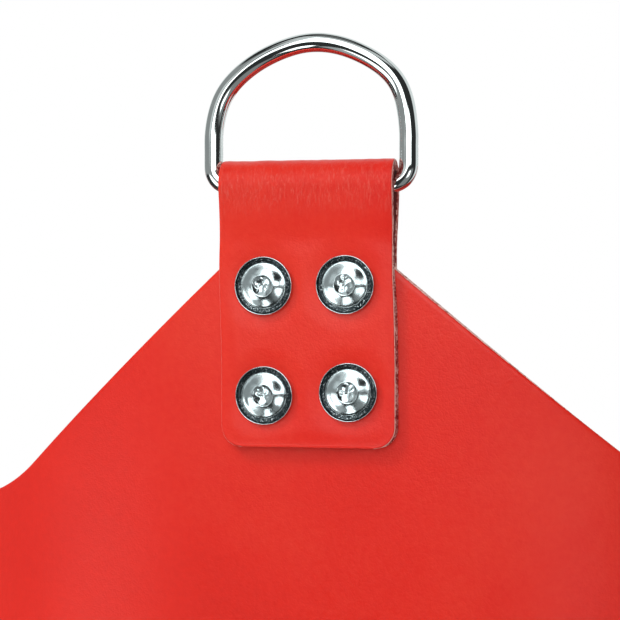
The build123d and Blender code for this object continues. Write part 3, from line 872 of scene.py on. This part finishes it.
def lid_half(sign):
    """One half of the lid, from the rounded outline to the seam and the zip's slot."""
    reach, corner = FLAT_DISTANCE - LID_INSET, CORNER_RADIUS - LID_INSET
    sides = np.array([0, 0.3, 0.8, 1.6, 3.0, 5.0, 8.0])
    x = np.concatenate([sides - reach, np.linspace(-reach + 12, reach - 12, 121), reach - sides[::-1]])
    past = np.clip(np.abs(x) - FLAT_HALF, 0, corner)
    far = FLAT_HALF + np.sqrt(np.clip(corner**2 - past**2, 0, None))
    end = np.clip(np.abs(x) - (SLOT_HALF - SLOT_NEAR), 0, SLOT_NEAR)
    near = np.maximum(np.sqrt(np.clip(SLOT_NEAR**2 - end**2, 0, None)), 0.25)
    share = np.concatenate([[0, 0.004, 0.012, 0.03], np.linspace(0.06, 0.96, 30), [0.985, 0.995, 1.0]])
    y = far[None, :] + (near - far)[None, :] * share[:, None]
    x = np.repeat(x[None, :], len(y), 0)
    rise = soft_noise(np.stack([x, y * sign, np.zeros_like(x)], -1), 60.0, 12) * 0.35
    rise = rise * smoothstep(y - near, 4, 30) * smoothstep(far - y, 3, 25) - 0.1
    hem = 0.30 * bell(y - near, 4.0, 1.2)
    flat = np.stack([x, -y, LID_TOP + rise - hem], -1)
    ring = grid_boundary(*y.shape)
    line = flat[ring]
    ahead = np.roll(line, -1, 0) - np.roll(line, 1, 0)
    away = np.stack([ahead[:, 1], -ahead[:, 0], 0 * ahead[:, 0]], -1)
    away /= np.maximum(np.linalg.norm(away, axis=1), 1e-6)[:, None]
    rims = []
    for inset, depth in SHEET_RIM:
        rim = line - away * (inset - 0.3)
        rim[:, 2] = LID_TOP - 0.1 - depth * 0.95
        rims.append(rim)
    under = flat.copy()
    under[..., 2] = LID_TOP - LEATHER + 0.05
    verts, faces, kind, _ = thick_sheet(flat, rims, under)
    verts = verts * [sign, sign, 1]
    slots = leather_slots(kind)
    half = "front" if sign > 0 else "back"
    piece = new_piece(f"lid_leather_{half}", verts, faces, [lid_leather, arris, edge, suede], slots)
    stand_in(piece, "bag", "lid_leather", f"lid_{half}")


# heights of the zip tape's two faces and of the middle of its teeth, and the teeth's spacing
TAPE_TOP, TAPE_UNDER, TEETH_MIDDLE, TEETH_STEP = 996.85, 996.15, 996.7, 2.4
# (distance out, half width, half height) along a tooth, from its head to its foot in the tape
TOOTH = [
    (0.62, 0.30, 0.6), (0.75, 0.62, 1.0), (1.1, 0.78, 1.25), (1.5, 0.62, 1.15), (1.8, 0.50, 1.0),
    (2.4, 0.66, 1.35), (3.2, 0.72, 1.45), (3.45, 0.55, 1.1),
]


def zip_row(sign):
    """One side of the zip: its woven tape and its teeth."""
    half = "front" if sign > 0 else "back"
    x, y = np.meshgrid(np.linspace(-SLOT_HALF, SLOT_HALF, 141), np.linspace(3.6, 18.4, 16), indexing="ij")
    wave = 0.06 * soft_noise(np.stack([x, y, x * 0], -1), 9.0, 6)
    face = np.stack([x, y, TAPE_TOP + wave], -1)
    under = np.stack([x, y, TAPE_UNDER + wave], -1)
    verts, faces, _, _ = thick_sheet(face, [], under)
    piece = new_piece(f"zip_tape_{half}", verts * [sign, -sign, 1], faces, [zip_cloth])
    stand_in(piece, "bag", "zip_tape", f"zip_tape_{half}")
    teeth = []
    angles = np.linspace(0, 2 * math.pi, 13)[:-1]
    shift = 0.0 if sign > 0 else TEETH_STEP / 2
    for place in np.arange(-127, 126.5, TEETH_STEP) + shift:
        loops = []
        for out, wide, tall in TOOTH:
            across = np.sign(np.cos(angles)) * np.abs(np.cos(angles)) ** 0.6 * wide
            up = np.sign(np.sin(angles)) * np.abs(np.sin(angles)) ** 0.6 * tall
            loops.append(np.stack([place + across, np.full(12, -out * sign), TEETH_MIDDLE + up], -1))
        teeth.append(swept(loops, closed_path=False, caps=True))
    verts, faces = joined(teeth)
    piece = new_piece(f"zip_teeth_{half}", verts, faces, [zip_metal])
    stand_in(piece, "bag", "zip_metal", f"zip_teeth_{half}")


def seam_tape(side):
    """Woven tape glued behind the seam at this side's far end."""
    across = np.linspace(QUARTER / 2 - 12.3, QUARTER / 2 + 12.3, 17)
    s, z = np.meshgrid(across, np.linspace(31, 974, 180), indexing="xy")

    def layer(inset):
        t, n = section(s, z, inset)
        return turn(side, t, n, z)

    lumps = 0.12 * (1 + soft_noise(layer(3.4), 9.0, 2))
    verts, faces, _, _ = thick_sheet(layer(3.25 + lumps), [], layer(4.2 + lumps))
    piece = new_piece(f"seam_tape_{SIDES[side]}", verts, faces, [tape_cloth])
    stand_in(piece, "bag", "seam_tape", f"seam_tape_{SIDES[side]}")


def stitches(side):
    """Waxed thread: two rows at each seam, one round the base and two round the lid."""
    made = []
    angles = np.linspace(0, 2 * math.pi, 7)[:-1]
    places = np.linspace(-1, 1, 7)

    def add(s, z, along_s, along_z):
        s_line, z_line = s + places * along_s, z + places * along_z
        deep = -0.42 + 0.95 * np.abs(places) ** 3
        line = wall_surface(side, s_line, z_line, deep)
        deeper = wall_surface(side, s_line, z_line, deep + 1.0)
        inward = deeper - line
        ahead = np.gradient(line, axis=0)
        ahead /= np.linalg.norm(ahead, axis=1)[:, None]
        across = np.cross(ahead, inward)
        thick = 0.42 * np.sqrt(1.02 - places**2 * 0.75)
        loops = []
        for place, sideways, under, radius in zip(line, across, inward, thick):
            round_it = np.outer(np.cos(angles), sideways) + np.outer(np.sin(angles), under)
            loops.append(place + radius * round_it)
        made.append(swept(loops, closed_path=False, caps=True))

    seam = WALL_HALF - SEAM_ROW
    for z in np.arange(21.0, VALLEY - 8, 5.0):
        for s in (-seam, seam):
            add(s, z + 2.5, 0.0, 2.05)
    for row in (BASE_ROW, *LID_ROWS):
        for s in np.arange(-WALL_HALF + 9, WALL_HALF - 8.9, 5.0):
            add(s, row, 2.05, 0.0)
    verts, faces = joined(made)
    piece = new_piece(f"stitching_{SIDES[side]}", verts, faces, [thread])
    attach(piece, "bag")


for number in range(4):
    wall_panel(number)
    strap(number)
    d_ring(number)
    rivets(number)
    seam_tape(number)
    stitches(number)
base()
filling()
lid_band()
for number in (1, -1):
    lid_half(number)
    zip_row(number)


# ---- CAD nodes that stay, with their own materials ----
for nodes, finish in (
    ([f"burr_washers_{name}" for name in SIDES], burr_brass),
    (["zip_slider", "zip_pull", "zip_stops"], zip_metal),
):
    for node in nodes:
        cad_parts[node].data.materials.clear()
        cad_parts[node].data.materials.append(finish)


# ---- stage, light and camera ----
CAMERA_AZIMUTH, CAMERA_ELEVATION, CAMERA_DISTANCE = 12.0, 0.37, 0.5
STUDIO_BASE = 0.03
# soft boxes and walls, as the bag sees them: from and to in azimuth (0 at the camera, growing to
# the right), from and to in elevation, softness of the edges, and brightness
STUDIO = [
    (-62, -36, 4, 26, 8, 0.7),
    (-31, 26, 2.5, 12, 3, 2.8),
    (-30, 7, 8, 52, 4, 2.8),
    (-50, -28, 28, 60, 5, 0.65),
    (-75, 75, 54, 72, 7, 0.60),
    (-181, 181, 78, 91, 6, 0.15),
    (92, 181, -60, 62, 6, 0.80),
    (-181, -138, -60, 62, 6, 0.80),
    (-136, -36, -8, 46, 4, 0.30),
    (-80, -40, -58, -4, 8, 0.42),
    (-72, -42, -35, -8, 6, 2.6),
    (4, 60, -62, -6, 9, 0.24),
    (15, 32, -24, -9, 4, 2.6),
    (-30, -6, -60, -41, 4, 2.6),
]


def world_light():
    """White to the camera, and the studio to everything else."""
    world = bpy.data.worlds.new("studio")
    bpy.context.scene.world = world
    world.use_nodes = True
    world.node_tree.nodes.clear()
    direction = world.node_tree.nodes.new("ShaderNodeTexCoord").outputs["Generated"]
    a = math.radians(CAMERA_AZIMUTH)

    def along(x, y, z):
        node = new_node(direction, "ShaderNodeVectorMath", {0: direction, 1: (x, y, z)})
        node.operation = "DOT_PRODUCT"
        return node.outputs["Value"]

    to_right = along(math.cos(a), math.sin(a), 0)
    to_camera = along(math.sin(a), -math.cos(a), 0)
    up = along(0, 0, 1)
    azimuth = math_node("MULTIPLY", math_node("ARCTAN2", to_right, to_camera), 180 / math.pi)
    elevation = math_node("MULTIPLY", math_node("ARCSINE", up), 180 / math.pi)

    def window(value, low, high, soft):
        rise = value_range(value, low - soft / 2, low + soft / 2, smooth=True)
        fall = value_range(value, high - soft / 2, high + soft / 2, smooth=True)
        return math_node("SUBTRACT", rise, fall)

    total = None
    for west, east, bottom, top, soft, level in STUDIO:
        across, upright = window(azimuth, west, east, soft), window(elevation, bottom, top, soft)
        box = math_node("MULTIPLY", math_node("MULTIPLY", across, upright), level)
        total = box if total is None else math_node("MAXIMUM", total, box)
    total = math_node("MAXIMUM", total, STUDIO_BASE)
    lit = {"Color": (0.94, 1.0, 0.985, 1.0), "Strength": total}
    lit = new_node(direction, "ShaderNodeBackground", lit).outputs[0]
    seen = new_node(direction, "ShaderNodeBackground", {"Color": (1, 1, 1, 1)}).outputs[0]
    by_camera = new_node(direction, "ShaderNodeLightPath", {}).outputs["Is Camera Ray"]
    mix = new_node(direction, "ShaderNodeMixShader", {0: by_camera, 1: lit, 2: seen})
    new_node(direction, "ShaderNodeOutputWorld", {"Surface": mix.outputs[0]})


def toward(azimuth, elevation):
    """The direction at an azimuth (0 at the front, growing to the right) and an elevation."""
    a, e = math.radians(azimuth), math.radians(elevation)
    return Vector((math.sin(a) * math.cos(e), -math.cos(a) * math.cos(e), math.sin(e)))


def area_light(name, azimuth, elevation, size, power):
    """A soft box round the bag, placed from the camera's side. It lights, but isn't reflected."""
    centre, distance = Vector((0, 0, 0.95)), 3.2
    away = toward(azimuth + CAMERA_AZIMUTH, elevation)
    data = bpy.data.lights.new(name, "AREA")
    data.size = size
    data.energy = power
    light = placed(name, data)
    light.location = centre + away * distance
    light.rotation_euler = away.to_track_quat("Z", "Y").to_euler()
    light.visible_glossy = False
    light.visible_camera = False


# name, azimuth, elevation, size in metres and power in watts
LAMPS = [
    ("key", -58, 44, 0.5, 31.7),
    ("front", -8, 14, 1.8, 3.5),
    ("right", 75, 18, 1.6, 5),
    ("left", -95, 0, 1.6, 6),
    ("back_left", -150, 25, 1.6, 18),
    ("back_right", 150, 25, 1.6, 22),
]
world_light()
for lamp in LAMPS:
    area_light(*lamp)


def add_camera():
    """The camera looks at the front hanger, as the photograph does."""
    data = bpy.data.cameras.new("camera")
    data.sensor_width = 36.0
    data.lens = 102.1
    data.clip_start = 0.05
    # the photograph's hanger is cut out on white, so the view ends before the hangers behind it
    data.clip_end = CAMERA_DISTANCE + 0.13
    camera = placed("camera", data)
    back = toward(CAMERA_AZIMUTH, CAMERA_ELEVATION)
    target = Vector((-0.05 * MM, -WALL_MIDDLE * MM, (PEAK - 19.74) * MM))
    camera.location = target + back * CAMERA_DISTANCE
    camera.rotation_mode = "QUATERNION"
    camera.rotation_quaternion = (-back).to_track_quat("-Z", "Y")
    bpy.context.scene.camera = camera


def add_floor(radius=3.5, corners=96):
    """A plain pale disc just under the bag."""
    mesh = bpy.data.meshes.new("floor")
    angles = [2 * math.pi * k / corners for k in range(corners)]
    rim = [(radius * math.cos(a), radius * math.sin(a), -0.0005) for a in angles]
    mesh.from_pydata(rim, [], [tuple(range(corners))])
    floor = placed("floor", mesh)
    pale, shader, coords = material("pale_floor", (0.8,) * 3, 0.7)
    tinted(shader, noise_node(coords, 3.0), [(0.3, (0.78,) * 3), (0.7, (0.82,) * 3)])
    mesh.materials.append(pale)
    # dark studio below the bag, not the floor, is what the photograph's metal shows
    floor.visible_glossy = False


add_camera()
add_floor()

bpy.context.scene.view_settings.view_transform = "Standard"
bpy.context.scene.view_settings.look = "None"

bpy.context.view_layer.update()
